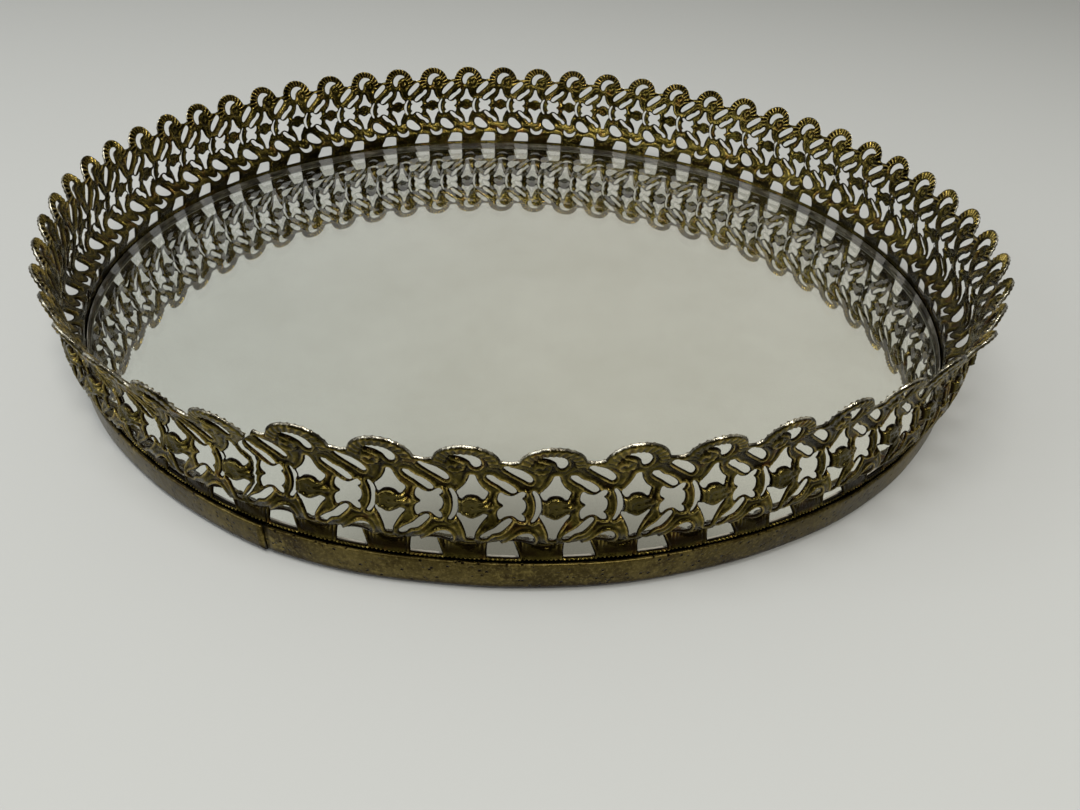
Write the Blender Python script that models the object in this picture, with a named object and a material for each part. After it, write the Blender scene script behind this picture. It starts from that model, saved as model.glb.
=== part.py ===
"""Dresser vanity tray: a round looking-glass plate in a tall pierced brass gallery.

Metres, +Z up. The origin is the centre of the foot, on the surface the tray stands on.
Five separate pieces: gallery, base band, looking-glass, backing board and base felt.
"""

import math

import bmesh
import bpy
from mathutils import Matrix, Vector
from mathutils.geometry import delaunay_2d_cdt

MM = 0.001

# --- driving dimensions, in millimetres -------------------------------------------------
OVERALL_DIAMETER = 254.0
UNITS = 54                       # repeats of the pierced pattern round the ring
BAND_OUTER_R = 125.0
BAND_TOP_Z = 7.6
BAND_FLOOR_Z = 0.9               # underside of the turned-in lower edge
BAND_WALL = 0.9
BAND_FLOOR_T = 0.6
BAND_FLANGE_R = 119.0            # inner edge of the turned-in lower edge
FELT_R = 118.4
FELT_T = 1.3
BOARD_R = 121.6
BOARD_Z = (1.8, 2.5)
GLASS_R = 122.1
GLASS_Z = (2.8, 7.5)
GLASS_ARRIS = 1.0                # ground edge round the top of the plate
STRIP_T = 1.0                    # stamped strip, measured along the radius
SEAM_GAP = 0.4                   # gap where the two ends of the strip meet
BAND_STEPS = 2 * UNITS
DISC_STEPS = 72

# Outside of the strip, foot to top: height and radius. The foot is a rail inside the band,
# then a hollow moulding with its throat at 11.9 mm, then the tall wall: a belly at 17 mm,
# a waist at 27 mm and a lip that flares out at the scrolls.
STRIP_PROFILE = (
    (6.4, 123.6), (7.7, 123.8), (9.7, 123.3), (11.9, 122.7), (12.8, 122.9), (14.6, 125.3),
    (16.0, 126.3), (18.0, 126.5), (22.6, 125.2), (27.0, 124.7), (31.0, 125.2),
    (37.3, OVERALL_DIAMETER / 2),
)
STRIP_TOP = STRIP_PROFILE[-1][0]
STRIP_FOOT = STRIP_PROFILE[0][0]
VALLEY_Z = 33.4                  # low points between the scrolls of the top edge
FIRST_REPEAT = math.radians(253.57)  # the repeat next to the seam, which is at the front left
FRONT_REPEAT = math.radians(273.57)
STRETCH = math.radians(1.04)         # the bent strip's repeats are a little wider on the right

# One repeat of the pattern. Across: fraction of a repeat, to the right as seen from outside.
# Up: height in millimetres. Each opening is (across, up) of its centre, then its corners.
OPENINGS = (
    ("scroll eye", 0.20, 32.9, ((-0.20, -0.9), (0.12, -2.3), (0.24, 0.6), (-0.04, 2.2))),
    ("upper slot", -0.22, 30.1, ((-0.18, 1.0), (0.08, -2.4), (0.18, -1.0), (-0.08, 2.4))),
    ("second slot", -0.43, 27.2, ((-0.18, 1.1), (0.07, -2.4), (0.18, -1.1), (-0.07, 2.4))),
    ("upper star", 0.22, 25.9, ((-0.17, -1.6), (0.17, -1.6), (0.0, 2.6))),
    ("wavy eye", -0.30, 22.6, ((-0.18, -2.3), (0.17, -2.5), (0.18, 2.3), (-0.17, 2.5))),
    ("lower star", 0.21, 18.1, ((-0.17, 1.7), (0.0, -2.6), (0.17, 1.7))),
    ("lower slot", -0.48, 17.7, ((-0.18, -1.4), (-0.06, -2.4), (0.18, 1.4), (0.06, 2.4))),
    ("half oval", -0.20, 14.9, ((-0.20, -1.2), (0.16, -1.2), (0.14, 1.1))),
    ("bowl", 0.15, 10.6, ((-0.20, 1.2), (0.0, -1.4), (0.20, 1.2))),
    ("window", -0.40, 9.7, ((-0.21, -1.6), (0.21, -1.6), (0.12, 1.8), (-0.17, 1.8))),
)
# The line that parts one repeat from the next, top to foot. It runs through metal only.
PARTING = (
    (-0.31, VALLEY_Z), (-0.46, 31.3), (-0.69, 28.9), (-0.51, 22.0), (-0.70, 16.3), (-0.60, 12.2),
    (-0.63, 9.7), (-0.655, STRIP_FOOT),
)
TOP_EDGE = ((-0.17, VALLEY_Z + 0.6), (0.05, STRIP_TOP), (0.31, STRIP_TOP), (0.53, VALLEY_Z + 0.6))

COLOURS = {
    "gallery": ((0.36, 0.29, 0.13, 1.0), 0.95, 0.42),
    "base_band": ((0.30, 0.26, 0.12, 1.0), 0.95, 0.48),
    "mirror_glass": ((0.86, 0.88, 0.87, 1.0), 1.0, 0.03),
    "backing_board": ((0.33, 0.27, 0.20, 1.0), 0.0, 0.9),
    "base_felt": ((0.05, 0.09, 0.06, 1.0), 0.0, 0.95),
}


def clear_scene():
    for ob in list(bpy.data.objects):
        bpy.data.objects.remove(ob, do_unlink=True)


def collection(name, hidden=False):
    group = bpy.data.collections.new(name)
    bpy.context.scene.collection.children.link(group)
    group.hide_render = hidden
    return group


def material(name):
    colour, metallic, roughness = COLOURS[name]
    mat = bpy.data.materials.new(name)
    mat.use_nodes = True
    shader = mat.node_tree.nodes["Principled BSDF"]
    shader.inputs["Base Color"].default_value = colour
    shader.inputs["Metallic"].default_value = metallic
    shader.inputs["Roughness"].default_value = roughness
    mat.diffuse_color = colour
    return mat


def add_object(name, bm, group):
    mesh = bpy.data.meshes.new(name)
    bm.to_mesh(mesh)
    bm.free()
    ob = bpy.data.objects.new(name, mesh)
    group.objects.link(ob)
    mesh.materials.append(material(name))
    return ob


def lathe(name, profile, steps, group):
    """A piece turned from a closed outline of (radius, height) in millimetres."""
    bm = bmesh.new()
    corners = [bm.verts.new((r * MM, 0.0, z * MM)) for r, z in profile]
    on_axis = profile[0][0] == 0.0
    edges = [bm.edges.new(pair) for pair in zip(corners, corners[1:])]
    if not on_axis:
        edges.append(bm.edges.new((corners[-1], corners[0])))
    bmesh.ops.spin(
        bm, geom=corners + edges, cent=(0, 0, 0), axis=(0, 0, 1),
        angle=2 * math.pi, steps=steps, use_merge=True, use_duplicate=False,
    )
    bmesh.ops.remove_doubles(bm, verts=bm.verts, dist=0.01 * MM)
    bmesh.ops.recalc_face_normals(bm, faces=bm.faces)
    turn = Matrix.Rotation(unit_angle(PARTING[-1][0]), 3, "Z")
    bmesh.ops.rotate(bm, verts=bm.verts, cent=(0, 0, 0), matrix=turn)
    return add_object(name, bm, group)


def unit_angle(across):
    """Angle round the ring of a place given in repeats, counted from the repeat at the seam."""
    even = FIRST_REPEAT + across * 2 * math.pi / UNITS
    return even + STRETCH * (1 - math.cos(even - FRONT_REPEAT))


def strip_radius(z):
    """Outside radius of the strip at a height, straight between the profile's points."""
    for (z0, r0), (z1, r1) in zip(STRIP_PROFILE, STRIP_PROFILE[1:]):
        if z <= z1:
            return r0 + (r1 - r0) * (z - z0) / (z1 - z0)
    return STRIP_PROFILE[-1][1]


def strip_point(across, z, depth):
    angle = unit_angle(across)
    r = strip_radius(z) - depth
    return Vector((r * math.cos(angle), r * math.sin(angle), z)) * MM


def repeat_cell():
    """Points and triangles of one repeat, flat: the outline, less its openings."""
    left = list(PARTING)
    right = [(across + 1.0, z) for across, z in PARTING]
    outline = left + right[::-1] + list(TOP_EDGE)[::-1]
    points = list(outline)
    loops = [list(range(len(outline)))]
    for _, across, up, corners in OPENINGS:
        start = len(points)
        points += [(across + du, up + dz) for du, dz in corners]
        loops.append(list(range(start, len(points))))
    pitch = math.pi * OVERALL_DIAMETER / UNITS
    flat = [Vector((across * pitch, up)) for across, up in points]
    edges = [(a, b) for loop in loops for a, b in zip(loop, loop[1:] + loop[:1])]
    verts, _, faces, *_ = delaunay_2d_cdt(flat, edges, [], 0, 1e-5)
    rings = [[flat[i] for i in loop] for loop in loops]
    kept = []
    for face in faces:
        middle = sum((verts[i] for i in face), Vector((0.0, 0.0))) / len(face)
        in_outline = inside(middle, rings[0])
        in_opening = any(inside(middle, ring) for ring in rings[1:])
        if in_outline and not in_opening:
            kept.append(face)
    return [(v.x / pitch, v.y) for v in verts], kept


def inside(point, ring):
    """True if a point lies inside a closed ring of corners."""
    odd = False
    for a, b in zip(ring, ring[1:] + ring[:1]):
        crosses = (a.y > point.y) != (b.y > point.y)
        if crosses and point.x < (b.x - a.x) * (point.y - a.y) / (b.y - a.y) + a.x:
            odd = not odd
    return odd


def build_gallery(group):
    """The pierced strip: one repeat set round the ring, given its thickness inwards."""
    points, faces = repeat_cell()
    seam_u = SEAM_GAP / 2 / (math.pi * OVERALL_DIAMETER / UNITS)
    parting = {(round(u, 4), round(z, 3)) for u, z in PARTING}
    bm = bmesh.new()
    shared = {}

    def vertex(unit, index):
        across, z = points[index]
        key = (round(across + unit, 3), round(z, 2))
        if key not in shared:
            shift = 0.0
            if unit == 0 and (round(across, 4), round(z, 3)) in parting:
                shift = seam_u
            if unit == UNITS - 1 and (round(across - 1, 4), round(z, 3)) in parting:
                shift = -seam_u
            shared[key] = bm.verts.new(strip_point(across + unit + shift, z, 0.0))
        return shared[key]

    for unit in range(UNITS):
        for face in faces:
            bm.faces.new([vertex(unit, i) for i in face])
    outside = list(bm.faces)
    grown = bmesh.ops.extrude_face_region(bm, geom=outside, use_keep_orig=True)
    for v in (item for item in grown["geom"] if isinstance(item, bmesh.types.BMVert)):
        flat = Vector((v.co.x, v.co.y, 0.0))
        v.co -= flat.normalized() * STRIP_T * MM
    bmesh.ops.recalc_face_normals(bm, faces=bm.faces)
    return add_object("gallery", bm, group)


def build_band(group):
    wall_in = BAND_OUTER_R - BAND_WALL
    floor_top = BAND_FLOOR_Z + BAND_FLOOR_T
    profile = (
        (BAND_FLANGE_R, BAND_FLOOR_Z), (BAND_OUTER_R - 0.9, BAND_FLOOR_Z),
        (BAND_OUTER_R - 0.1, BAND_FLOOR_Z + 0.9), (BAND_OUTER_R, 4.3),
        (BAND_OUTER_R - 0.1, BAND_TOP_Z - 0.3), (BAND_OUTER_R - 0.45, BAND_TOP_Z),
        (wall_in, BAND_TOP_Z - 0.2), (wall_in, floor_top), (BAND_FLANGE_R, floor_top),
    )
    return lathe("base_band", profile, BAND_STEPS, group)


def disc(name, radius, low, high, group, arris=0.0):
    profile = [(0.0, low), (radius, low), (radius, high - arris)]
    if arris:
        profile.append((radius - arris, high))
    else:
        profile[-1] = (radius, high)
    profile.append((0.0, high))
    return lathe(name, profile, DISC_STEPS, group)


def main():
    clear_scene()
    tray = collection("dresser_vanity_tray")
    build_gallery(tray)
    build_band(tray)
    disc("mirror_glass", GLASS_R, *GLASS_Z, tray, GLASS_ARRIS)
    disc("backing_board", BOARD_R, *BOARD_Z, tray)
    disc("base_felt", FELT_R, 0.0, FELT_T, tray)


main()
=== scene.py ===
"""Looks of the dresser vanity tray: tarnished pierced gallery, base band and looking-glass."""

import math

import bmesh
import bpy
import numpy as np
from mathutils import Matrix, Vector
from mathutils.geometry import delaunay_2d_cdt


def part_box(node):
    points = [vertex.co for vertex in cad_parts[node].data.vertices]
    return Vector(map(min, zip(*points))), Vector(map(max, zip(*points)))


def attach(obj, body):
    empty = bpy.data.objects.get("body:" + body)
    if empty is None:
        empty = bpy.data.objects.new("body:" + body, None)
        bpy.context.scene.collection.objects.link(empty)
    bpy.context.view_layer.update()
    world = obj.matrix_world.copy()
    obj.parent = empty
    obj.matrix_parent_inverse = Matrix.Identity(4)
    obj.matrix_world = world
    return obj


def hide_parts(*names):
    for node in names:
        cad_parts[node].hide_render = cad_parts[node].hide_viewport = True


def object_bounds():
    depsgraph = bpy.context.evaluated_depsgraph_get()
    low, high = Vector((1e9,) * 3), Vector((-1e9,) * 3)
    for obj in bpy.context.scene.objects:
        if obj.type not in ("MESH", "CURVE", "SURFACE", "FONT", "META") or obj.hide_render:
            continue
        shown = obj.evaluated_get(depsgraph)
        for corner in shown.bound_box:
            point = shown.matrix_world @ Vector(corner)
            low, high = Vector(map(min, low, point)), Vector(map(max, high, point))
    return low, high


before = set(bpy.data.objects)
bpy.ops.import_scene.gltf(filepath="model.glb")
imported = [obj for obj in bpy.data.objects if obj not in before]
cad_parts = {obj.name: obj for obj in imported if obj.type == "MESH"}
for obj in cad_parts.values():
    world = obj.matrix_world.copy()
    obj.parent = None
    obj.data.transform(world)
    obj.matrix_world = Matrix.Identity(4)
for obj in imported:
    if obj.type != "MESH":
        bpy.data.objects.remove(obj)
CAD_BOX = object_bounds()
MM = 0.001

# --- driving sizes, in millimetres -------------------------------------------------------
UNITS = 54                                   # repeats of the pattern round the ring
TOP_R = (CAD_BOX[1][0] - CAD_BOX[0][0]) / 2 / MM
TOP_Z = CAD_BOX[1][2] / MM
PITCH_R = TOP_R - 1.6                        # radius at which a repeat's width is taken
PITCH = 2 * math.pi * PITCH_R / UNITS        # one repeat, along the strip
DRAWN_HEIGHT = 2.585                         # height of the strip in the drawing's units
RISE = TOP_Z / DRAWN_HEIGHT                  # unit of height that the pattern is drawn in
STRIP_T = 0.65
SEAM_GAP = 0.4
FIRST_REPEAT = math.radians(253.57)          # the repeat next to the seam, at the front left
FRONT_REPEAT = math.radians(273.57)
STRETCH = math.radians(1.04)                 # repeats are a little wider on the right
EDGE_STEP = 0.28                             # spacing of points along a cut edge
FIELD_STEP = 0.34                            # spacing of points between the edges
FINE_STEP = 0.22                             # the same on the rope rim and the beads
FOOT_STEP = 0.6                              # the same along the straight foot

# Outside of the strip, foot to top: height and radius.
STRIP_PROFILE = (
    (6.4, 123.6), (7.7, 123.8), (9.0, 123.6), (10.5, 123.1), (11.8, 122.7), (12.4, 122.9),
    (12.9, 123.8), (13.6, 125.1), (14.3, 125.9), (15.5, 126.5), (17.0, 126.6), (18.5, 126.3),
    (20.0, 125.9), (22.6, 125.2), (25.3, 124.7), (28.0, 124.7), (31.0, 125.2), (34.0, 126.1),
    (37.5, 127.2),
)

# How far use has bent the lip outwards at each place round the ring: degrees from the +X side,
# counted on from the seam at 249 all the way round to it again.
LIP_LEAN = (
    (249, 1.2), (258, 0.6), (270, 0.1), (305, 0.0), (318, 2.5), (340, 3.0), (352, 1.6),
    (366, 0.0), (535, -0.3), (554, -2.0), (566, -0.9), (575, 0.6), (586, 2.9), (610, 2.9),
)
LIP_LEAN_END = 612
WOBBLES = ((8, 0.16), (19, 0.10))            # waves round the lip, and how far each goes
SPRUNG_OPEN = 1.6                            # how far strip and band stand open at the seam
SPRUNG_WIDTH = math.radians(16)
STIFF_BELOW = 7.6                            # the strip doesn't lean below this height
TIP_BEND = 0.22                              # spread of the small bends of single scrolls

# --- the repeat, drawn flat as seen from outside -----------------------------------------
# Across in repeats, up in units of RISE. The crescent slot is at 0.
SCROLL_AT = (0.16, 2.215)
SCROLL_SIZE = (0.405, 0.385)
SCROLL_ARC = (167, 13)                       # part of the scroll that is the strip's top edge
KNOB_AT = (0.015, 2.215)
KNOB_R = 0.15
ROSETTE_AT = (0.23, 1.565)
ROSETTE_R = 0.21
MIDDLE_V = 1.57                              # middle of the crescents and wavy eyes
CRESCENT_H = 0.21
LEAF_AT = 0.46                               # leaf between a rosette and a wavy eye
WINDOW_AT = -0.41
FAN_V = 0.77                                 # fans stand between the windows
BOWL_LEAF_AT = (0.12, 0.93)
BEADS_V = 0.542
LEDGE_V = 0.86

OPENINGS = {
    "scroll_eye": (
        (-0.01, 2.395), (0.10, 2.445), (0.21, 2.43), (0.30, 2.355), (0.33, 2.26), (0.305, 2.18),
        (0.25, 2.165), (0.215, 2.215), (0.19, 2.28), (0.11, 2.35),
    ),
    "upper_slot": (
        (-0.40, 2.215), (-0.34, 2.225), (-0.22, 2.155), (-0.10, 2.045), (-0.06, 1.955),
        (-0.10, 1.915), (-0.20, 1.98), (-0.32, 2.075), (-0.405, 2.16),
    ),
    "second_slot": (
        (-0.60, 2.04), (-0.545, 2.035), (-0.47, 1.96), (-0.385, 1.92), (-0.28, 1.835),
        (-0.25, 1.765), (-0.31, 1.745), (-0.395, 1.80), (-0.47, 1.865), (-0.555, 1.925),
        (-0.61, 1.985),
    ),
    "upper_star": (
        (0.195, 2.025), (0.245, 2.025), (0.275, 1.93), (0.33, 1.83), (0.405, 1.755),
        (0.385, 1.695), (0.35, 1.675), (0.29, 1.72), (0.22, 1.735), (0.15, 1.72),
        (0.09, 1.675), (0.055, 1.695), (0.035, 1.755), (0.11, 1.83), (0.165, 1.93),
    ),
    "crescent": (
        (-0.06, 1.77), (-0.03, 1.78), (0.03, 1.69), (0.05, 1.57), (0.03, 1.45), (-0.03, 1.36),
        (-0.065, 1.37), (-0.025, 1.46), (-0.01, 1.57), (-0.025, 1.68),
    ),
    "wavy_eye": (
        (-0.445, 1.755), (-0.38, 1.72), (-0.29, 1.71), (-0.20, 1.765), (-0.145, 1.76),
        (-0.155, 1.70), (-0.185, 1.675), (-0.15, 1.635), (-0.135, 1.57), (-0.15, 1.505),
        (-0.185, 1.465), (-0.155, 1.44), (-0.145, 1.38), (-0.20, 1.375), (-0.29, 1.435),
        (-0.38, 1.425), (-0.445, 1.385), (-0.475, 1.46), (-0.46, 1.52), (-0.405, 1.57),
        (-0.46, 1.62), (-0.475, 1.68),
    ),
    "lower_star": (
        (0.035, 1.435), (0.07, 1.485), (0.12, 1.46), (0.22, 1.415), (0.32, 1.46), (0.37, 1.485),
        (0.405, 1.435), (0.34, 1.34), (0.27, 1.20), (0.245, 1.07), (0.205, 1.055),
        (0.165, 1.07), (0.145, 1.20), (0.09, 1.34),
    ),
    "third_slot": (
        (-0.655, 1.075), (-0.60, 1.085), (-0.53, 1.17), (-0.435, 1.21), (-0.345, 1.30),
        (-0.295, 1.375), (-0.335, 1.405), (-0.42, 1.35), (-0.50, 1.27), (-0.60, 1.205),
        (-0.67, 1.13),
    ),
    "half_oval": (
        (-0.38, 0.935), (-0.29, 0.91), (-0.15, 0.93), (-0.05, 0.985), (-0.015, 1.06),
        (-0.03, 1.15), (-0.09, 1.195), (-0.19, 1.17), (-0.31, 1.06), (-0.375, 0.985),
    ),
    "bowl": (
        (-0.02, 0.925), (0.04, 0.89), (0.10, 0.87), (0.16, 0.865), (0.22, 0.875),
        (0.28, 0.905), (0.32, 0.925), (0.315, 0.86), (0.25, 0.81), (0.15, 0.792), (0.05, 0.81),
        (-0.015, 0.86),
    ),
    "window": (
        (-0.605, 0.573), (-0.595, 0.566), (-0.41, 0.564), (-0.205, 0.566), (-0.19, 0.573),
        (-0.20, 0.62), (-0.245, 0.73), (-0.285, 0.815), (-0.33, 0.83), (-0.45, 0.83),
        (-0.56, 0.82), (-0.60, 0.785), (-0.612, 0.66),
    ),
}
# The line that parts one repeat from the next, top to foot, through metal only.
PARTING = (
    (-0.43, 2.298), (-0.475, 2.20), (-0.57, 2.11), (-0.657, 2.04), (-0.69, 1.96), (-0.66, 1.89),
    (-0.55, 1.79), (-0.53, 1.66), (-0.525, 1.50), (-0.54, 1.41), (-0.62, 1.28), (-0.725, 1.13),
    (-0.705, 1.01), (-0.67, 0.92), (-0.65, 0.80), (-0.66, 0.69), (-0.66, 0.60), (-0.66, 0.443),
)
VALLEY = (-0.33, 2.285)                      # where the scalloped edge leaves the parting line

# --- heights of the stamped relief, in millimetres ---------------------------------------
ROPE_HEIGHT = 0.34
ROPE_TWIST = 0.09                            # rubbed nearly flat outside
ROPE_TWIST_INSIDE = 0.40
ROPE_STRANDS = 24                            # strands in a full turn
KNOB_HEIGHT = 0.60
KNOB_SPIRAL = 0.22
KNOB_FLUTES = 0.05
ROSETTE_HEIGHT = 1.35
ROSETTE_BRIM = 0.18
ROSETTE_CURL = 0.26
ROSETTE_PIT = 0.30
OUTER_RIB = (0.30, 0.100, 0.020)             # height, then place and width in repeats
INNER_RIB = (0.24, 0.052, 0.016)
LEAF_HEIGHT = 0.7
LEAF_VEINS = 0.14
FAN_HEIGHT = 0.30
FAN_PLEATS = (20, 0.16)                      # number in a repeat, then height
BOWL_LEAF_HEIGHT = 0.36
BOWL_LEAF_VEINS = (14, 0.07)
BEADS = (17, 0.28)
LEDGE_HEIGHT = 0.12
EDGE_ROUNDING = 0.26
LIP_HEIGHT = 0.20                            # the raised line along every opening
VALLEY_DEPTH = 0.22                          # and the dip behind it
SWELL_HEIGHT = 0.16


def flat(place):
    """A place in the drawing's units, in millimetres."""
    return np.array(place, float) * (PITCH, RISE)


def resample(points, step, closed):
    """The same line with its points about one step apart."""
    points = np.asarray(points, float)
    if closed:
        points = np.vstack([points, points[:1]])
    along = np.concatenate([[0], np.cumsum(np.hypot(*np.diff(points, axis=0).T))])
    count = max(3, round(along[-1] / step))
    at = np.linspace(0, along[-1], count + 1)
    line = np.stack([np.interp(at, along, points[:, i]) for i in (0, 1)], axis=1)
    return line[:-1] if closed else line


def smooth_loop(corners, step):
    """A closed curve that passes through the corners (Catmull-Rom), in millimetres."""
    c = flat(corners)
    t = np.linspace(0, 1, 12, endpoint=False)[:, None]
    spans = []
    for i in range(len(c)):
        a, b, d, e = c[i - 1], c[i], c[(i + 1) % len(c)], c[(i + 2) % len(c)]
        spans.append(0.5 * (2 * b + (d - a) * t + (2 * a - 5 * b + 4 * d - e) * t ** 2
                            + (3 * b - a - 3 * d + e) * t ** 3))
    return resample(np.vstack(spans), step, closed=True)


def top_edge(step):
    """The scalloped edge of one repeat: the valley, then over the scroll."""
    turn = np.radians(np.linspace(*SCROLL_ARC, 60))
    ring = np.stack([SCROLL_AT[0] + SCROLL_SIZE[0] * np.cos(turn),
                     SCROLL_AT[1] + SCROLL_SIZE[1] * np.sin(turn)], axis=1)
    start, end = flat(PARTING[0]), flat((PARTING[0][0] + 1, PARTING[0][1]))
    return resample(np.vstack([start, flat(VALLEY), flat(ring), end]), step, closed=False)


def contains(ring, points):
    """Which points lie inside a closed ring."""
    x, y = points[:, :1], points[:, 1:]
    ax, ay = ring.T
    bx, by = np.roll(ring, -1, axis=0).T
    crosses = (ay > y) != (by > y)
    with np.errstate(divide="ignore", invalid="ignore"):
        left = x < (bx - ax) * (y - ay) / (by - ay) + ax
    return (crosses & left).sum(axis=1) % 2 == 1


def distance(points, lines):
    """Distance from each point to the nearest of some open lines."""
    nearest = np.full(len(points), 1e9)
    for line in lines:
        a, b = line[:-1], line[1:]
        span = b - a
        for low in range(0, len(points), 1500):
            p = points[low:low + 1500, None]
            t = ((p - a) * span).sum(-1) / np.maximum((span ** 2).sum(-1), 1e-12)
            gap = p - (a + np.clip(t, 0, 1)[..., None] * span)
            near = np.sqrt((gap ** 2).sum(-1).min(axis=1))
            nearest[low:low + 1500] = np.minimum(nearest[low:low + 1500], near)
    return nearest


def around(x, centre):
    """Distance across from a feature that every repeat has."""
    return (x - centre * PITCH + PITCH / 2) % PITCH - PITCH / 2


def with_neighbours(lines):
    """Lines of one repeat, each with its copies in the repeats on both sides."""
    return [line + (k * PITCH, 0) for line in lines for k in (-1, 0, 1)]


def hex_grid(low, high, step):
    """Points in staggered rows over a box, the rows 0.87 of a step apart."""
    rows = []
    for i, z in enumerate(np.arange(low[1], high[1], step * 0.87)):
        x = np.arange(low[0] + (i % 2) * step / 2, high[0], step)
        rows.append(np.stack([x, np.full(len(x), z)], axis=1))
    return np.vstack(rows)


def needs_fine(points):
    """Where ropes, beads and curls want closer points."""
    x, z = points.T
    from_scroll = np.hypot(around(x, SCROLL_AT[0]), z - SCROLL_AT[1] * RISE)
    rope = (from_scroll > 0.20 * RISE) & (z > 2.1 * RISE)
    knob = np.hypot(around(x, KNOB_AT[0]), z - KNOB_AT[1] * RISE) < KNOB_R * RISE * 1.2
    rose = np.hypot(around(x, ROSETTE_AT[0]), z - ROSETTE_AT[1] * RISE) < ROSETTE_R * RISE
    rib = np.abs(around(x, 0.0)) < 0.15 * PITCH
    rib &= np.abs(z - MIDDLE_V * RISE) < 1.2 * CRESCENT_H * RISE
    return rope | knob | rose | rib | (z < 0.98 * RISE)


class Cell:
    """One repeat of the strip, flat: points, triangles and distance from the nearest cut edge."""

    def __init__(self):
        step = EDGE_STEP
        left = resample(flat(PARTING), step, closed=False)
        right = left + (PITCH, 0)
        top = top_edge(step)
        foot_end = (right[-1][0], PARTING[-1][1] * RISE)
        foot = resample([left[-1], foot_end], FOOT_STEP, closed=False)
        outline = np.vstack([left, foot[1:-1], right[::-1], top[::-1][1:-1]])
        rings = [smooth_loop(corners, step) for corners in OPENINGS.values()]
        cuts = with_neighbours([np.vstack([ring, ring[:1]]) for ring in rings] + [top, foot])
        self.triangulate(outline, rings, self.field(outline, rings, cuts + [left, right]))
        first_right = len(left) + len(foot) - 2
        self.left = np.arange(len(left))
        self.right = np.arange(first_right, first_right + len(left))[::-1]
        self.depth = distance(self.points, cuts)
        self.rim = distance(self.points, with_neighbours([top]))

    def triangulate(self, outline, rings, inside):
        """Join the points into triangles that follow every cut edge and leave the openings out."""
        points, edges = [], []
        for loop in [outline] + rings:
            start, count = sum(map(len, points)), len(loop)
            edges += [(start + i, start + (i + 1) % count) for i in range(count)]
            points.append(loop)
        points = np.vstack(points + [inside])
        verts, _, faces, *_ = delaunay_2d_cdt([Vector(p) for p in points], edges, [], 0, 1e-6)
        self.points = np.array([tuple(v) for v in verts])
        faces = np.array(faces)
        middle = self.points[faces].mean(axis=1)
        keep = contains(outline, middle)
        for ring in rings:
            keep &= ~contains(ring, middle)
        self.faces = faces[keep]

    @staticmethod
    def field(outline, rings, lines):
        """Points between the edges, closer together where the relief is fine."""
        coarse, fine = ((FIELD_STEP, FINE_STEP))
        low, high = outline.min(axis=0), outline.max(axis=0)
        spots = []
        for step, wanted in ((coarse, False), (fine, True)):
            grid = hex_grid(low, high, step)
            grid = grid[needs_fine(grid) == wanted]
            grid = grid[contains(outline, grid)]
            for ring in rings:
                grid = grid[~contains(ring, grid)]
            grid = grid[distance(grid, lines) > 0.5 * step]
            if spots:
                gap = np.abs(grid[:, None] - spots[0][None]).sum(-1).min(axis=1)
                grid = grid[gap > 0.5 * coarse]
            spots.append(grid)
        return np.vstack(spots)


def bump(value, centre, width):
    """A smooth ridge, 1 at its centre."""
    return np.exp(-((value - centre) / width) ** 2)


def step_up(value, low, high):
    """A smooth rise from 0 at low to 1 at high."""
    t = np.clip((value - low) / (high - low), 0, 1)
    return t * t * (3 - 2 * t)


def rope(x, z):
    """The twisted cord over each scroll: rubbed flat outside, still sharp inside."""
    sx, sz = around(x, SCROLL_AT[0]), z - SCROLL_AT[1] * RISE
    ring = np.hypot(sx / (SCROLL_SIZE[0] * PITCH), sz / (SCROLL_SIZE[1] * RISE))
    turn = np.arctan2(sz, sx)
    over = step_up(ring, 0.58, 0.70) * step_up(z / RISE, 2.08, 2.28)
    twist = over * np.cos(ROPE_STRANDS * turn + 7.0 * ring)
    return over, ROPE_HEIGHT * over + ROPE_TWIST * twist, ROPE_TWIST_INSIDE * twist


def knob(x, z):
    """The curled end of the scroll: a fluted dome with a spiral cut in it."""
    kx, kz = around(x, KNOB_AT[0]), z - KNOB_AT[1] * RISE
    out = np.hypot(kx, kz) / (KNOB_R * RISE)
    turn = np.arctan2(kz, kx)
    dome = np.sqrt(np.clip(1 - out ** 2, 0, 1))
    spiral = np.cos(turn - 8.0 * out + 0.6)
    flutes = np.cos(11 * turn) * step_up(out, 0.35, 0.7)
    cuts = (KNOB_SPIRAL * spiral + KNOB_FLUTES * flutes) * step_up(1.05 - out, 0, 0.2)
    return KNOB_HEIGHT * dome + cuts


def rosette(x, z):
    """The boss between two crescents: a tall dome with a curled bud on it and a scalloped brim."""
    rx, rz = around(x, ROSETTE_AT[0]), z - ROSETTE_AT[1] * RISE
    out = np.hypot(rx, rz) / (ROSETTE_R * RISE)
    turn = np.arctan2(rz, rx)
    boss = np.clip(1 - out ** 2, 0, 1) ** 0.5
    brim = np.cos(9 * turn) * bump(out, 0.92, 0.10) * step_up(-rz, 0.0, 0.8)
    curl = bump(out, 0.46 + 0.08 * np.cos(turn - 2.4), 0.13)
    curl *= step_up(np.cos(turn - 2.6), -0.6, 0.0)
    pit = bump(out, 0.18, 0.16)
    return ROSETTE_HEIGHT * boss + ROSETTE_BRIM * brim + ROSETTE_CURL * curl - ROSETTE_PIT * pit


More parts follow.
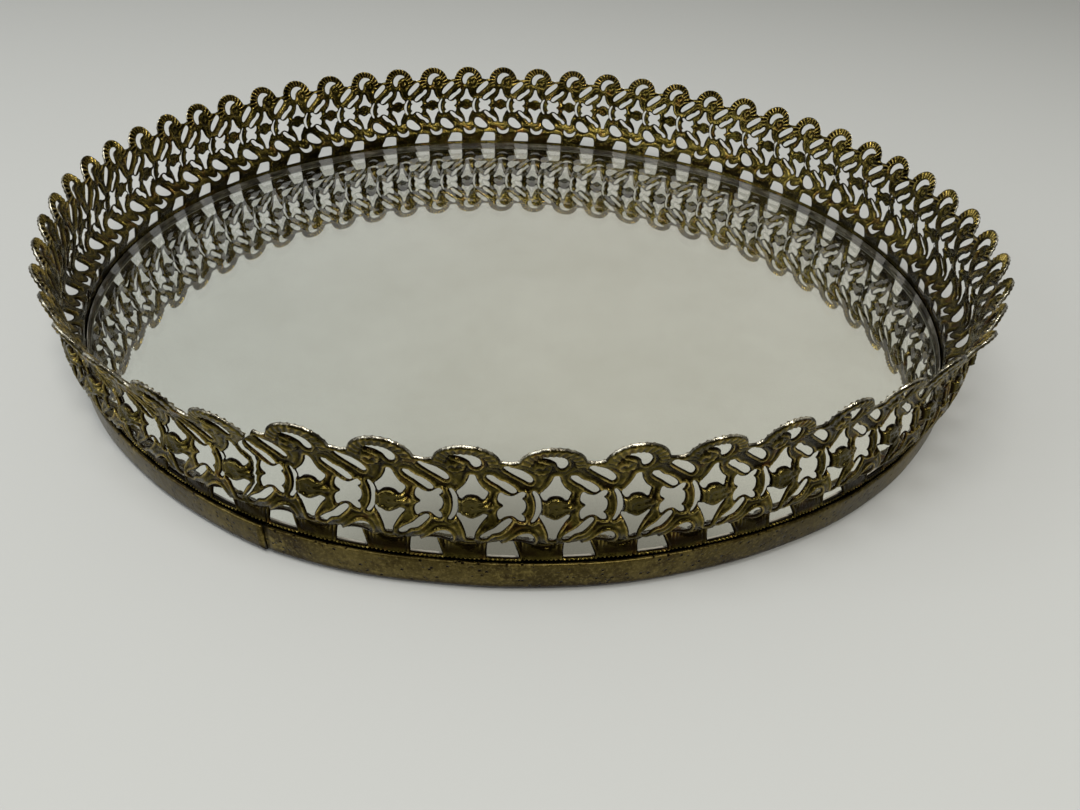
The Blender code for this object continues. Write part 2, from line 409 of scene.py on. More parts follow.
def side_ribs(x, z):
    """Twin ribs along both sides of the crescent, and the leaf between rosette and wavy eye."""
    cx, cz = around(x, 0.0), (z - MIDDLE_V * RISE) / (CRESCENT_H * RISE)
    bow = cx - 0.055 * PITCH * (1 - cz ** 2) + 0.03 * PITCH
    beside = step_up(1.25 - np.abs(cz), 0, 0.25)
    ribs = 0
    for height, place, width in (OUTER_RIB, INNER_RIB):
        ribs = ribs + height * bump(np.abs(bow), place * PITCH, width * PITCH)
    lx, lz = around(x, LEAF_AT), (z - MIDDLE_V * RISE) / RISE
    leaf = LEAF_HEIGHT * bump(lx / PITCH, 0, 0.055) * bump(lz, 0, 0.10)
    veins = LEAF_VEINS * np.cos(lz * 60) * bump(lx / PITCH, 0, 0.07) * bump(lz, 0, 0.14)
    return beside * ribs + leaf + veins


def foot_work(x, z):
    """Fans between the windows, leaves under the bowls and the beaded line at the foot."""
    v = z / RISE

    def waves(count):
        """A wave with so many crests in each repeat."""
        return np.cos(2 * math.pi * x / (PITCH / count))

    (pleats, pleat_height), (veins, vein_height) = FAN_PLEATS, BOWL_LEAF_VEINS
    beads, bead_height = BEADS
    beside_window = np.abs(around(x, WINDOW_AT))
    fan = bump(beside_window, 0.285 * PITCH, 0.08 * PITCH) * bump(v, FAN_V, 0.085)
    work = fan * (FAN_HEIGHT + pleat_height * waves(pleats))
    from_leaf = np.abs(around(x, BOWL_LEAF_AT[0]))
    leaf = bump(from_leaf, 0.0, 0.20 * PITCH) * bump(v, BOWL_LEAF_AT[1], 0.05)
    work += leaf * (BOWL_LEAF_HEIGHT + vein_height * waves(veins))
    work += bead_height * bump(v, BEADS_V, 0.014) * (0.5 + 0.5 * waves(beads))
    ledge = LEDGE_HEIGHT * bump(v, LEDGE_V, 0.020)
    return work + ledge


def relief(points, depth):
    """How far the stamped outer face stands out from the strip, and the inner face with it."""
    x, z = points.T
    over, cord, twist = rope(x, z)
    from_edge = step_up(depth, 0.05, 0.40)
    round_over = -EDGE_ROUNDING * (1 - np.clip(depth / 0.5, 0, 1)) ** 2
    wall = (1 - over) * (0.4 + 0.6 * step_up(z / RISE, 0.62, 0.75))
    lips = LIP_HEIGHT * bump(depth, 0.40, 0.20) - VALLEY_DEPTH * bump(depth, 0.95, 0.30)
    swell = SWELL_HEIGHT * np.sin(2 * math.pi * (x / PITCH * 2 + z / RISE * 1.7))
    swell *= step_up(depth, 0.3, 1.0)
    raised = wall * (lips + swell) + cord * from_edge
    raised += knob(x, z) + rosette(x, z) + side_ribs(x, z)
    foot = foot_work(x, z)
    inner = 0.75 * raised + 0.40 * foot - round_over + twist * from_edge
    return round_over + raised + foot, inner


def unit_angle(x):
    """Angle round the ring of a distance along the strip."""
    even = FIRST_REPEAT + x / PITCH * 2 * math.pi / UNITS
    return even + STRETCH * (1 - np.cos(even - FRONT_REPEAT))


SEAM_ANGLE = float(unit_angle(PARTING[-1][0] * PITCH))


def smooth_line(corners, end, count, blur):
    """A line through the corners read at so many places, its bends rounded over blur of them."""
    at, value = np.array(corners, float).T
    fine = np.linspace(at[0], end, count)
    kernel = np.hanning(2 * blur + 1)
    padded = np.pad(np.interp(fine, at, value), blur, mode="edge")
    return fine, np.convolve(padded, kernel / kernel.sum(), mode="valid")


def sprung(theta):
    """How far the ring stands open beside the seam."""
    from_seam = (theta - SEAM_ANGLE + math.pi) % (2 * math.pi) - math.pi
    return SPRUNG_OPEN * np.exp(-(from_seam / SPRUNG_WIDTH) ** 2)


def hand_wear(theta, z, tip_bend):
    """Bends that use has given the wall, in millimetres outwards."""
    lean = np.clip((z - STIFF_BELOW) / (TOP_Z - STIFF_BELOW), 0, 1.05) ** 1.3
    bends = np.interp(np.degrees(theta), *smooth_line(LIP_LEAN, LIP_LEAN_END, 726, 9))
    wobble = sum(size * np.sin(count * theta) for count, size in WOBBLES)
    at_tip = step_up(z, 2.36 * RISE, 2.58 * RISE)
    return sprung(theta) + lean * (bends + wobble) + tip_bend * at_tip


def profile_curve():
    """The strip's section as a smooth curve: heights, radii and slope."""
    fine_z, fine_r = smooth_line(STRIP_PROFILE, TOP_Z + 0.2, 500, 13)
    return fine_z, fine_r, np.gradient(fine_r, fine_z)


def wrap(points, unit, out, tip_bend):
    """Flat points of one repeat, set on the ring and moved out along the wall's normal."""
    x, z = points.T
    fine_z, fine_r, slope = profile_curve()
    s = np.interp(z, fine_z, slope)
    length = np.sqrt(1 + s ** 2)
    theta = unit_angle(x + unit * PITCH)
    r = np.interp(z, fine_z, fine_r) + out / length + hand_wear(theta, z, tip_bend)
    up = z - out * s / length
    return np.stack([r * np.cos(theta), r * np.sin(theta), up], axis=1) * MM


def smoothed(cell, height, rounds=6):
    """The relief averaged over neighbouring points, so that ridges stand above it."""
    a = np.concatenate([cell.faces[:, i] for i in (0, 1, 2)])
    b = np.concatenate([cell.faces[:, i] for i in (1, 2, 0)])
    share = np.bincount(a, minlength=len(height)) + np.bincount(b, minlength=len(height)) + 1
    for _ in range(rounds):
        total = height + np.bincount(a, height[b], len(height))
        height = (total + np.bincount(b, height[a], len(height))) / share
    return height


def repeat_ids(cell, unit):
    """Numbers of one repeat's points. Its right edge is the next repeat's left edge."""
    size = len(cell.points)
    own = np.arange(size) + unit * size
    if unit < UNITS - 1:
        own[cell.right] = cell.left + (unit + 1) * size
    return own


def edge_walls(faces, count):
    """Quads along every open edge, from the outer face to the inner."""
    directed = np.vstack([faces[:, [0, 1]], faces[:, [1, 2]], faces[:, [2, 0]]])
    forward = directed[:, 0].astype(np.int64) * count + directed[:, 1]
    backward = directed[:, 1].astype(np.int64) * count + directed[:, 0]
    rim = directed[~np.isin(forward, backward)]
    return np.stack([rim[:, 1], rim[:, 0], rim[:, 0] + count, rim[:, 1] + count], axis=1)


def add_looks(mesh, cell, height, inner, used):
    """Values that the brass reads at each point: first the outer face, then the inner."""
    looks = {
        "cut_depth": (cell.depth, cell.depth), "rim_depth": (cell.rim, cell.rim),
        "proud": (height, 0 * height),
        "ridge": (height - smoothed(cell, height), smoothed(cell, inner) - inner),
    }
    for name, sides in looks.items():
        attribute = mesh.attributes.new(name, "FLOAT", "POINT")
        values = np.concatenate([np.tile(side, UNITS)[used] for side in sides])
        attribute.data.foreach_set("value", values.astype(np.float32))


def linked(data):
    """An object in the scene for a mesh, light or camera, with the same name."""
    ob = bpy.data.objects.new(data.name, data)
    bpy.context.scene.collection.objects.link(ob)
    return ob


def shade_smooth(mesh):
    mesh.polygons.foreach_set("use_smooth", [True] * len(mesh.polygons))
    mesh.update()


def build_gallery():
    """The pierced strip as one closed body: both faces, cut edges and the two ends."""
    cell = Cell()
    height, inner = relief(cell.points, cell.depth)
    bends = np.random.default_rng(54).normal(0, TIP_BEND, UNITS)
    outer_side, inner_side = [], []
    for unit in range(UNITS):
        points = cell.points.copy()
        if unit == 0:
            points[cell.left, 0] += SEAM_GAP / 2
        if unit == UNITS - 1:
            points[cell.right, 0] -= SEAM_GAP / 2
        outer_side.append(wrap(points, unit, height, bends[unit]))
        inner_side.append(wrap(points, unit, inner - STRIP_T, bends[unit]))
    faces = np.vstack([repeat_ids(cell, unit)[cell.faces] for unit in range(UNITS)])
    used, faces = np.unique(faces, return_inverse=True)
    faces = faces.reshape(-1, 3)
    count = len(used)
    verts = np.vstack([np.vstack(outer_side)[used], np.vstack(inner_side)[used]])
    back = faces[:, ::-1] + count
    mesh = bpy.data.meshes.new("gallery_filigree")
    mesh.from_pydata(verts.tolist(), [],
                     faces.tolist() + back.tolist() + edge_walls(faces, count).tolist())
    add_looks(mesh, cell, height, inner, used)
    shade_smooth(mesh)
    return linked(mesh)


# --- base band ----------------------------------------------------------------------------
BAND_STEPS = 540
BAND_GAP = math.radians(0.13)
BAND_LIP_R = 119.0                           # inner edge of the part turned in under the tray
BAND_SHEET = 0.6
BAND_CORNER = 1.1                            # radius of the lower outside corner
BAND_BEAD = 0.4                              # radius of the rounded top edge
BAND_BULGE = 0.1                             # how far the side swells between them
BAND_SIDE_ENDS = 1.6                         # height that the corner and bead take
BAND_BEVEL = 0.3
PROUD_END = 0.35                             # one end of the band stands out at the seam
PROUD_END_WIDTH = 0.03


def band_section():
    """The band's closed outline: radius and height, from the turned-in edge outwards."""
    low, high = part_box("base_band")
    outer = (high[0] - low[0]) / 2 / MM
    floor, top = low[2] / MM, high[2] / MM
    side = outer - BAND_BULGE
    section = [(BAND_LIP_R, floor)]
    for turn in range(7):
        a = math.radians(-90 + 15 * turn)
        section.append((side - BAND_CORNER + BAND_CORNER * math.cos(a),
                        floor + BAND_CORNER + BAND_CORNER * math.sin(a)))
    for k in range(1, 9):
        z = floor + BAND_CORNER + (top - floor - BAND_SIDE_ENDS) * k / 9
        section.append((side + BAND_BULGE * math.sin(math.pi * k / 9), z))
    for turn in range(7):
        a = math.radians(30 * turn)
        section.append((side - BAND_BEAD + BAND_BEAD * math.cos(a),
                        top - BAND_BEAD + BAND_BEAD * math.sin(a)))
    inside = side - 2 * BAND_BEAD
    section.append((inside, floor + BAND_SHEET + BAND_BEVEL))
    section.append((inside - BAND_BEVEL, floor + BAND_SHEET))
    section.append((BAND_LIP_R, floor + BAND_SHEET))
    return np.array(section)


def build_band():
    """The plain band, turned in one sweep from one side of its seam to the other."""
    section = band_section()
    sweep = np.linspace(BAND_GAP, 2 * math.pi - BAND_GAP, BAND_STEPS) + SEAM_ANGLE
    dents = 0.08 * np.sin(13 * sweep + 1) + 0.04 * np.sin(31 * sweep) + sprung(sweep)
    dents += PROUD_END * np.exp((sweep - sweep[-1]) / PROUD_END_WIDTH)
    r = section[None, :, 0] + dents[:, None]
    z = np.broadcast_to(section[None, :, 1], r.shape)
    at = np.stack([r * np.cos(sweep)[:, None], r * np.sin(sweep)[:, None], z], axis=-1) * MM
    n = len(section)
    faces = []
    for i in range(BAND_STEPS - 1):
        for j in range(n):
            k = (j + 1) % n
            faces.append((i * n + j, (i + 1) * n + j, (i + 1) * n + k, i * n + k))
    faces += [list(range(n)), list(range((BAND_STEPS - 1) * n, BAND_STEPS * n))[::-1]]
    mesh = bpy.data.meshes.new("base_band_rim")
    mesh.from_pydata(at.reshape(-1, 3).tolist(), [], faces)
    shade_smooth(mesh)
    bm = bmesh.new()
    bm.from_mesh(mesh)
    bmesh.ops.recalc_face_normals(bm, faces=bm.faces)
    bm.to_mesh(mesh)
    bm.free()
    return linked(mesh)


# --- glass ----------------------------------------------------------------------------------
GLASS_GROWN = 0.4                            # larger than the CAD plate, to meet the strip
FILM_T = 0.03
FILM_INSET = 0.5                             # the film stops short of the plate's edge
GLASS_OVER_FILM = 0.05
UPPER_ARRIS = 0.2
LOWER_ARRIS = 0.35
GLASS_FOLLOWS = 0.92                         # share of the sprung ring that the plate takes


def lathe(name, section, steps=360):
    """A turned piece from an open outline of (radius, height) that starts and ends on the axis."""
    bm = bmesh.new()
    corners = [bm.verts.new((r * MM, 0, z * MM)) for r, z in section]
    edges = [bm.edges.new(pair) for pair in zip(corners, corners[1:])]
    bmesh.ops.spin(bm, geom=corners + edges, cent=(0, 0, 0), axis=(0, 0, 1),
                   angle=2 * math.pi, steps=steps, use_merge=True)
    bmesh.ops.remove_doubles(bm, verts=bm.verts, dist=0.005 * MM)
    bmesh.ops.recalc_face_normals(bm, faces=bm.faces)
    mesh = bpy.data.meshes.new(name)
    bm.to_mesh(mesh)
    bm.free()
    return linked(mesh)


def build_glass():
    """Clear plate with a ground arris, and the silver film on its underside."""
    low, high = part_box("mirror_glass")
    r = (high[0] - low[0]) / 2 / MM + GLASS_GROWN
    z0, z1 = low[2] / MM, high[2] / MM
    bottom = z0 + GLASS_OVER_FILM
    plate = lathe("mirror_plate", (
        (0, bottom), (r - LOWER_ARRIS, bottom), (r, bottom + LOWER_ARRIS), (r, z1 - UPPER_ARRIS),
        (r - UPPER_ARRIS, z1), (0, z1)))
    film_r = r - FILM_INSET
    silver = lathe("mirror_silvering", (
        (0, z0), (film_r, z0), (film_r, z0 + FILM_T), (0, z0 + FILM_T)))
    # Near its edge the glass is let out with the sprung ring, so that no gap opens.
    for ob in (plate, silver):
        for v in ob.data.vertices:
            theta = math.atan2(v.co.y, v.co.x)
            reach = math.hypot(v.co.x, v.co.y) / (r * MM)
            open_by = GLASS_FOLLOWS * sprung(theta) * MM * reach ** 8
            v.co.x += open_by * math.cos(theta)
            v.co.y += open_by * math.sin(theta)
    return plate, silver


# --- materials ------------------------------------------------------------------------------
# Colours are linear. A ramp is a row of places and colours.
# Near black: painted shade in the gallery's creases, and the dark of the band's real pits.
CREASE_SHADE_AND_PIT = (0.008, 0.005, 0.002, 1)
CUT_EDGE = (0.012, 0.007, 0.003, 1)
# Near black: painted shade in the gallery's throat.
THROAT_SHADE = (0.010, 0.006, 0.002, 1)
DARK_SPECK = (0.012, 0.009, 0.003, 1)
RED_LACQUER = (0.085, 0.024, 0.006, 1)
# Pale silver: painted highlight along the gallery's top edge.
RIM_HIGHLIGHT = (0.60, 0.57, 0.46, 1)
TARNISH = ((0.36, (0.020, 0.015, 0.003)), (0.49, (0.052, 0.041, 0.008)),
           (0.62, (0.130, 0.103, 0.024)))
# Gold of rubbed brass, also laid on the ridges as painted glints.
GILT_AND_GLINT = ((0.3, (0.26, 0.19, 0.040)), (0.7, (0.64, 0.48, 0.15)))
BOSS_BROWN = ((0.35, (0.030, 0.024, 0.006)), (0.65, (0.080, 0.066, 0.020)))

BAND_OLIVE = ((0.34, (0.044, 0.032, 0.008)), (0.50, (0.085, 0.064, 0.017)),
              (0.64, (0.155, 0.120, 0.038)))
BAND_BLOTCH = (0.030, 0.019, 0.005, 1)
BAND_SCRATCH = (0.27, 0.21, 0.075, 1)
BAND_DARK = (0.022, 0.015, 0.004, 1)
BAND_YELLOW = (0.30, 0.235, 0.070, 1)
# Dark brown: painted shadow along the band's foot.
BAND_FOOT_SHADOW = (0.014, 0.007, 0.003, 1)

GLASS_TINT = (0.975, 0.985, 0.97, 1)
# Brown of dirt and a painted reflection of the brass lattice, for the plate's edge.
EDGE_DIRT_AND_REFLECTION = ((0.38, (0.030, 0.023, 0.010)), (0.50, (0.080, 0.066, 0.036)),
              (0.62, (0.21, 0.19, 0.145)))
# Pale: painted highlight along the plate's arris.
ARRIS_HIGHLIGHT = (0.50, 0.48, 0.42, 1)
SILVER = ((0.35, (0.80, 0.80, 0.74)), (0.65, (0.88, 0.88, 0.83)))
CARD = ((0.3, (0.22, 0.16, 0.10)), (0.7, (0.36, 0.28, 0.19)))
FELT = ((0.3, (0.010, 0.022, 0.013)), (0.7, (0.040, 0.075, 0.048)))
FELT_WORN = (0.10, 0.12, 0.09, 1)

# Heights on the brass, in millimetres: where the throat's painted shade comes in and goes out,
# where the dark of the cut edges ends below the top, and where the painted shadow along the band's
# foot ends.
THROAT_IN = (8.2, 8.9)
THROAT_OUT = (9.8, 12.4)
CLEAN_TOP = (TOP_Z - 3.5, TOP_Z - 1.5)
FOOT_SHADOW_HEIGHTS = (2.4, 3.6)


class Nodes:
    """Short names for building a node material."""

    def __init__(self, name):
        self.mat = bpy.data.materials.new(name)
        self.mat.use_nodes = True
        self.tree = self.mat.node_tree
        self.shader = self.tree.nodes["Principled BSDF"]

    def add(self, kind, settings=None, **inputs):
        node = self.tree.nodes.new(kind)
        for key, value in (settings or {}).items():
            setattr(node, key, value)
        for key, value in inputs.items():
            self.put(node, key, value)
        return node

    def put(self, node, key, value):
        """Link or set one socket, by name or by number: _0 is the first."""
        by_number = key.startswith("_")
        socket = node.inputs[int(key[1:]) if by_number else key.replace("_", " ")]
        if isinstance(value, bpy.types.NodeSocket):
            self.tree.links.new(value, socket)
        else:
            socket.default_value = value

    def place(self):
        return self.add("ShaderNodeTexCoord").outputs["Object"]

    def noise(self, scale, detail=4.0, rough=0.6, vector=None):
        node = self.add("ShaderNodeTexNoise", Vector=vector or self.place(), Scale=scale,
                        Detail=detail, Roughness=rough)
        return node.outputs["Fac"]

    def ramp(self, value, stops):
        node = self.add("ShaderNodeValToRGB", Fac=value)
        band = node.color_ramp
        while len(band.elements) < len(stops):
            band.elements.new(0.5)
        for element, (at, colour) in zip(band.elements, stops):
            element.position = at
            element.color = (*colour, 1)
        return node.outputs["Color"]

    def span(self, value, low, high, to_low=0.0, to_high=1.0):
        node = self.add("ShaderNodeMapRange", Value=value, From_Min=low, From_Max=high,
                        To_Min=to_low, To_Max=to_high)
        return node.outputs["Result"]

    def math(self, operation, a, b=0.0):
        return self.add("ShaderNodeMath", {"operation": operation}, _0=a, _1=b).outputs[0]

    def mix(self, factor, a, b):
        node = self.add("ShaderNodeMix", {"data_type": "RGBA"}, _0=factor, _6=a, _7=b)
        return node.outputs[2]

    def attribute(self, name):
        return self.add("ShaderNodeAttribute", {"attribute_name": name}).outputs["Fac"]

    def bump(self, height, strength, distance, normal=None):
        node = self.add("ShaderNodeBump", Height=height, Strength=strength, Distance=distance)
        if normal:
            self.put(node, "Normal", normal)
        return node.outputs["Normal"]

    def set(self, **inputs):
        for key, value in inputs.items():
            self.put(self.shader, key, value)
        return self.mat


def above(n, at, low, high, to_low=0.0, to_high=1.0):
    """A fade with height between two heights in millimetres."""
    height = n.add("ShaderNodeSeparateXYZ", Vector=at).outputs["Z"]
    return n.span(height, low * MM, high * MM, to_low, to_high)


def gallery_marks_shade_and_highlight(n, at, colour, specks, lacquer):
    """Marks on the brass: darker along the cut edges, painted shade in the throat, a painted
    highlight along the top edge, dark specks.
    """
    cut = n.span(n.attribute("cut_depth"), 0.04, 0.22, 0.9, 0.0)
    colour = n.mix(n.math("MULTIPLY", cut, above(n, at, *CLEAN_TOP, 1.0, 0.0)), colour, CUT_EDGE)
    # Painted shade in the throat under the overhanging wall, made patchy by the lacquer noise.
    throat = n.math("MULTIPLY", above(n, at, *THROAT_IN), above(n, at, *THROAT_OUT, 1.0, 0.0))
    throat_shade = n.math("MULTIPLY", throat, n.span(lacquer, 0.30, 0.55, 0.55, 0.95))
    colour = n.mix(throat_shade, colour, THROAT_SHADE)
    # Painted highlight along the scalloped top edge, broken up by the lacquer noise.
    wear_and_highlight = n.math("MULTIPLY", n.span(n.attribute("rim_depth"), 0.04, 0.20, 1.0, 0.0),
                  n.span(lacquer, 0.40, 0.56, 0.10, 0.95))
    colour = n.mix(wear_and_highlight, colour, RIM_HIGHLIGHT)
    return n.mix(n.span(specks, 0.62, 0.76), colour, DARK_SPECK)


def brass_gallery():
    """Old lacquered brass: brown-olive tarnish, painted shade near black in the creases, and
    bright gilt on the ridges that is partly rubbed brass and partly painted glints.
    """
    n = Nodes("tarnished_filigree_brass")
    at = n.place()
    patches = n.noise(60, 5, 0.6, at)
    specks = n.noise(900, 3, 0.7, at)
    lacquer = n.noise(240, 3, 0.6, at)
    ridge = n.attribute("ridge")
    grime = n.math("ADD", n.math("MULTIPLY", patches, 0.6), n.math("MULTIPLY", specks, 0.4))
    colour = n.ramp(grime, TARNISH)
    colour = n.mix(n.span(lacquer, 0.56, 0.70, 0.0, 0.6), colour, RED_LACQUER)
    # Gilt on the raised ridges, patchy with the lacquer: partly rubbed brass, partly painted
    # glints.
    rubbed_and_glint = n.math("MULTIPLY", n.span(ridge, 0.04, 0.20), n.span(lacquer, 0.34, 0.56))
    colour = n.mix(n.math("MULTIPLY", rubbed_and_glint, 0.78), colour, n.ramp(specks, GILT_AND_GLINT))
    # Painted shade: near black in the creases, where the relief dips below its smoothed
    # surroundings.
    colour = n.mix(n.span(ridge, -0.14, -0.02, 0.92, 0.0), colour, CREASE_SHADE_AND_PIT)
    boss = n.span(n.attribute("proud"), 0.6, 1.1, 0.0, 0.8)
    colour = n.mix(boss, colour, n.ramp(patches, BOSS_BROWN))
    colour = gallery_marks_shade_and_highlight(n, at, colour, specks, lacquer)
    rough = n.span(n.math("ADD", specks, patches), 0.7, 1.3, 0.12, 0.34)
    pits = n.bump(specks, 0.6, 0.0003)
    grain = n.bump(lacquer, 0.5, 0.0004, pits)
    return n.set(Base_Color=colour, Metallic=1.0, Roughness=rough, Normal=grain)


def brass_band():
    """The plain band: olive tarnish with yellower patches, scratches and small dark pits, and
    painted shadow along its foot.
    """
    n = Nodes("tarnished_band_brass")
    at = n.place()
    patches = n.noise(42, 6, 0.66, at)
    fine = n.noise(1500, 3, 0.7, at)
    colour = n.ramp(patches, BAND_OLIVE)
    colour = n.mix(n.span(n.noise(210, 4, 0.7, at), 0.50, 0.66, 0.0, 0.75), colour, BAND_BLOTCH)
    colour = n.mix(n.span(fine, 0.52, 0.66, 0.0, 0.42), colour, BAND_SCRATCH)
    colour = n.mix(n.span(fine, 0.46, 0.36, 0.0, 0.40), colour, BAND_DARK)
    colour = n.mix(n.span(n.noise(120, 5, 0.75, at), 0.60, 0.70, 0.0, 0.7), colour, BAND_YELLOW)
    cells = n.add("ShaderNodeTexVoronoi", Vector=at, Scale=760.0).outputs["Distance"]
    bare = n.span(n.noise(300, 2, 0.5, at), 0.44, 0.50, 1.0, 0.0)
    pit = n.math("MAXIMUM", n.span(cells, 0.19, 0.28), bare)
    colour = n.mix(pit, CREASE_SHADE_AND_PIT, colour)
    # Painted shadow along the band's foot, its upper edge made ragged by fine noise.
    height = n.add("ShaderNodeSeparateXYZ", Vector=at).outputs["Z"]
    ragged = n.math("ADD", height, n.math("MULTIPLY", fine, 0.0016))
    foot = n.span(ragged, FOOT_SHADOW_HEIGHTS[0] * MM, FOOT_SHADOW_HEIGHTS[1] * MM, 0.85, 0.0)
    colour = n.mix(foot, colour, BAND_FOOT_SHADOW)
    rough = n.span(n.math("ADD", fine, patches), 0.7, 1.3, 0.28, 0.50)
    normal = n.bump(pit, 0.9, 0.0003)
    normal = n.bump(fine, 0.3, 0.00012, normal)
    normal = n.bump(patches, 0.5, 0.0015, normal)
    return n.set(Base_Color=colour, Metallic=0.97, Roughness=rough, Normal=normal)


def clear_glass():
    """Clear plate with faint smears on it."""
    n = Nodes("plate_glass")
    rough = n.span(n.noise(26, 5, 0.6), 0.45, 0.75, 0.0, 0.03)
    return n.set(Base_Color=GLASS_TINT, Roughness=rough, IOR=1.52, Transmission_Weight=1.0)


def ground_edge(top):
    """The plate's edge: dirty brown with a painted reflection of the metal behind it, and a pale
    painted highlight line at the arris.
    """
    n = Nodes("ground_glass_edge")
    at = n.place()
    dust = n.noise(500, 4, 0.7, at)
    # Dirt and a painted reflection of the brass lattice on the plate's edge.
    colour = n.ramp(n.noise(130, 3, 0.6, at), EDGE_DIRT_AND_REFLECTION)
    # Painted highlight: a pale line along the upper arris.
    arris = above(n, at, top / MM - 0.30, top / MM - 0.20)
    colour = n.mix(arris, colour, ARRIS_HIGHLIGHT)
    return n.set(Base_Color=colour, Roughness=0.55, Normal=n.bump(dust, 0.4, 0.0002))


def silver_film():
    """Silvering, a little mottled and browned where it has aged."""
    n = Nodes("aged_silvering")
    cloud = n.noise(18, 6, 0.65)
    rough = n.span(cloud, 0.4, 0.7, 0.01, 0.04)
    return n.set(Base_Color=n.ramp(cloud, SILVER), Metallic=1.0, Roughness=rough)


def brown_card():
    """Plain pulp card with visible fibres."""
    n = Nodes("brown_card")
    fibre = n.noise(700, 5, 0.7)
    return n.set(Base_Color=n.ramp(fibre, CARD), Roughness=0.9, Normal=n.bump(fibre, 0.4, 0.0002))


def dark_felt():
    """Dark green felt, paler where it has worn."""
    n = Nodes("dark_felt")
    at = n.place()
    fibre = n.noise(1100, 6, 0.75, at)
    wear_and_highlight = n.span(n.noise(22, 4, 0.6, at), 0.5, 0.75, 0, 0.35)
    colour = n.mix(wear_and_highlight, n.ramp(fibre, FELT), FELT_WORN)
    return n.set(Base_Color=colour, Roughness=0.95, Sheen_Weight=0.4,
                 Normal=n.bump(fibre, 0.7, 0.0004))


def dress(ob, mat):
    ob.data.materials.clear()
    ob.data.materials.append(mat)


# --- the tray -------------------------------------------------------------------------------
gallery = build_gallery()
dress(gallery, brass_gallery())
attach(gallery, "root")
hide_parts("gallery")

band = build_band()
dress(band, brass_band())
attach(band, "root")
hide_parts("base_band")

plate, silver = build_glass()
dress(plate, clear_glass())
plate.data.materials.append(ground_edge(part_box("mirror_glass")[1][2]))
for face in plate.data.polygons:
    lies_flat = abs(face.normal.z) >= 0.9
    if not lies_flat:
        face.material_index = 1
dress(silver, silver_film())
for piece in (plate, silver):
    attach(piece, "root")
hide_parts("mirror_glass")

dress(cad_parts["backing_board"], brown_card())
dress(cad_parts["base_felt"], dark_felt())


# --- stage, light and camera ------------------------------------------------------------------
FLOOR_REACH = 3.0
FLOOR_GREY = (0.49, 0.505, 0.50, 1)

# The room that the mirror and the brass see, as linear colours.
WALL_LEFT = (0.545, 0.55, 0.53, 1)
WALL_RIGHT = (0.555, 0.54, 0.495, 1)
OVERHEAD = (0.20, 0.19, 0.165, 1)
BEHIND_VIEWER = (0.13, 0.125, 0.11, 1)

# Name, place, width and height, power and colour. All are aimed at the tray's middle.
LIGHTS = (
    ("ceiling", (-0.15, -0.35, 1.3), (0.9, 0.6), 10.0, (1.0, 0.985, 0.96)),
    ("lamp", (0.35, -0.70, 0.9), (0.16, 0.16), 5.0, (1.0, 0.95, 0.86)),
    ("window_left", (-1.1, -0.5, 0.6), (0.7, 0.7), 6.0, (0.97, 0.99, 1.0)),
)

CAMERA_AT = (7.05, -230.6, 119.8)            # in millimetres
CAMERA_PITCH = math.radians(35.48)           # downwards
CAMERA_YAW = math.radians(0.175)
CAMERA_ROLL = math.radians(3.107)
CAMERA_LENS = 27.0
CAMERA_SENSOR = 36.0


def build_stage():
    """A plain pale floor."""
    s = FLOOR_REACH
    mesh = bpy.data.meshes.new("floor")
    mesh.from_pydata([(-s, -s, 0), (s, -s, 0), (s, s, 0), (-s, s, 0)], [], [(0, 1, 2, 3)])
    floor = linked(mesh)
    dress(floor, Nodes("pale_floor").set(Base_Color=FLOOR_GREY, Roughness=0.8))


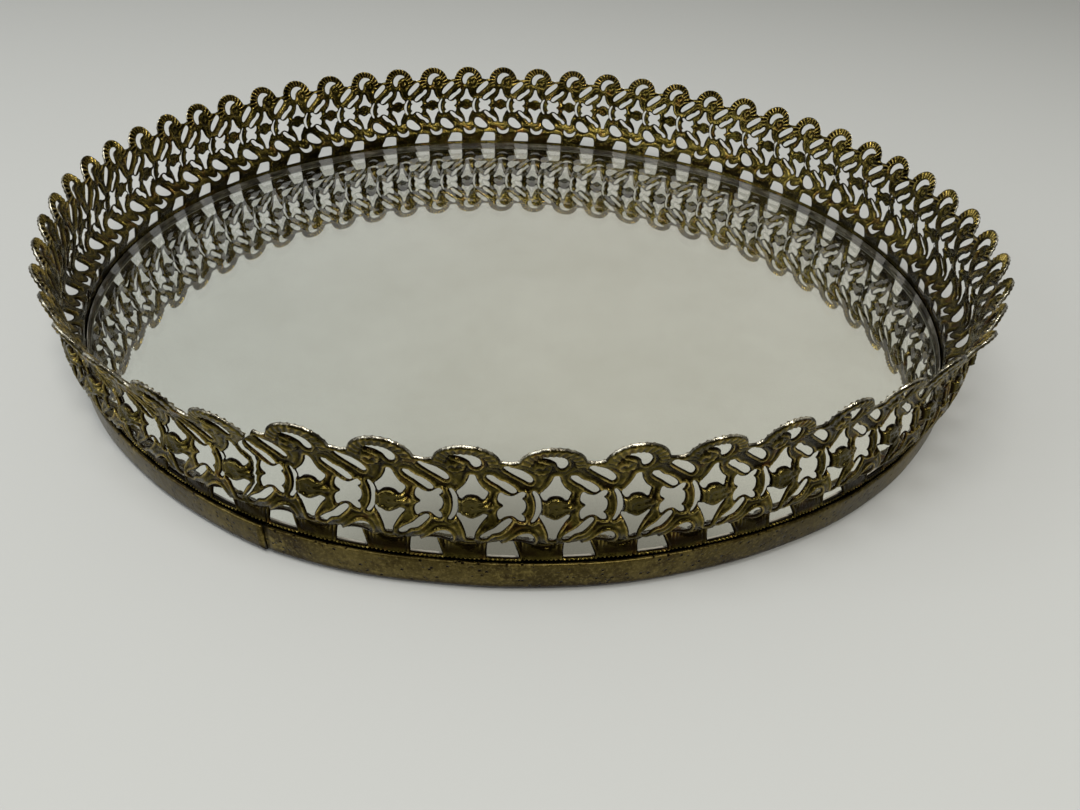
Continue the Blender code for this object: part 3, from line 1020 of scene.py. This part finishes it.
def build_world():
    """A room with a pale wall behind the tray, dark on the viewer's side and overhead."""
    world = bpy.data.worlds.new("room")
    world.use_nodes = True
    bpy.context.scene.world = world
    tree = world.node_tree
    coord = tree.nodes.new("ShaderNodeTexCoord")
    split = tree.nodes.new("ShaderNodeSeparateXYZ")
    tree.links.new(coord.outputs["Generated"], split.inputs[0])

    def fade(axis, low, high):
        node = tree.nodes.new("ShaderNodeMapRange")
        node.interpolation_type = "SMOOTHSTEP"
        node.inputs["From Min"].default_value = low
        node.inputs["From Max"].default_value = high
        tree.links.new(split.outputs[axis], node.inputs["Value"])
        return node.outputs["Result"]

    def blend(factor, a, b):
        node = tree.nodes.new("ShaderNodeMix")
        node.data_type = "RGBA"
        for slot, value in ((0, factor), (6, a), (7, b)):
            if isinstance(value, bpy.types.NodeSocket):
                tree.links.new(value, node.inputs[slot])
            else:
                node.inputs[slot].default_value = value
        return node.outputs[2]

    wall = blend(fade("X", -0.45, 0.10), WALL_LEFT, WALL_RIGHT)
    overhead = blend(fade("X", -0.36, -0.10), wall, OVERHEAD)
    wall = blend(fade("Z", 0.60, 0.72), wall, overhead)
    room = blend(fade("Y", -0.30, 0.10), BEHIND_VIEWER, wall)
    tree.links.new(room, tree.nodes["Background"].inputs["Color"])


def add_light(name, place, size, power, colour):
    light = bpy.data.lights.new(name, "AREA")
    light.shape = "RECTANGLE"
    light.size, light.size_y = size
    light.energy = power
    light.color = colour
    ob = linked(light)
    ob.location = place
    ob.rotation_euler = (-Vector(place)).to_track_quat("-Z", "Y").to_euler()


def build_camera():
    """The photographer's place: close, from the front, looking down, held a little tilted."""
    data = bpy.data.cameras.new("camera")
    data.lens = CAMERA_LENS
    data.sensor_width = CAMERA_SENSOR
    camera = linked(data)
    pitch, yaw, roll = CAMERA_PITCH, CAMERA_YAW, CAMERA_ROLL
    ahead = Vector((math.sin(yaw) * math.cos(pitch), math.cos(yaw) * math.cos(pitch),
                    -math.sin(pitch)))
    level = Vector((math.cos(yaw), -math.sin(yaw), 0))
    over = level.cross(ahead)
    right = math.cos(roll) * level + math.sin(roll) * over
    up = -math.sin(roll) * level + math.cos(roll) * over
    turn = Matrix((right, up, -ahead)).transposed().to_4x4()
    camera.matrix_world = Matrix.Translation(Vector(CAMERA_AT) * MM) @ turn
    bpy.context.scene.camera = camera


build_stage()
build_world()
for light in LIGHTS:
    add_light(*light)
build_camera()
bpy.context.scene.view_settings.view_transform = "Standard"
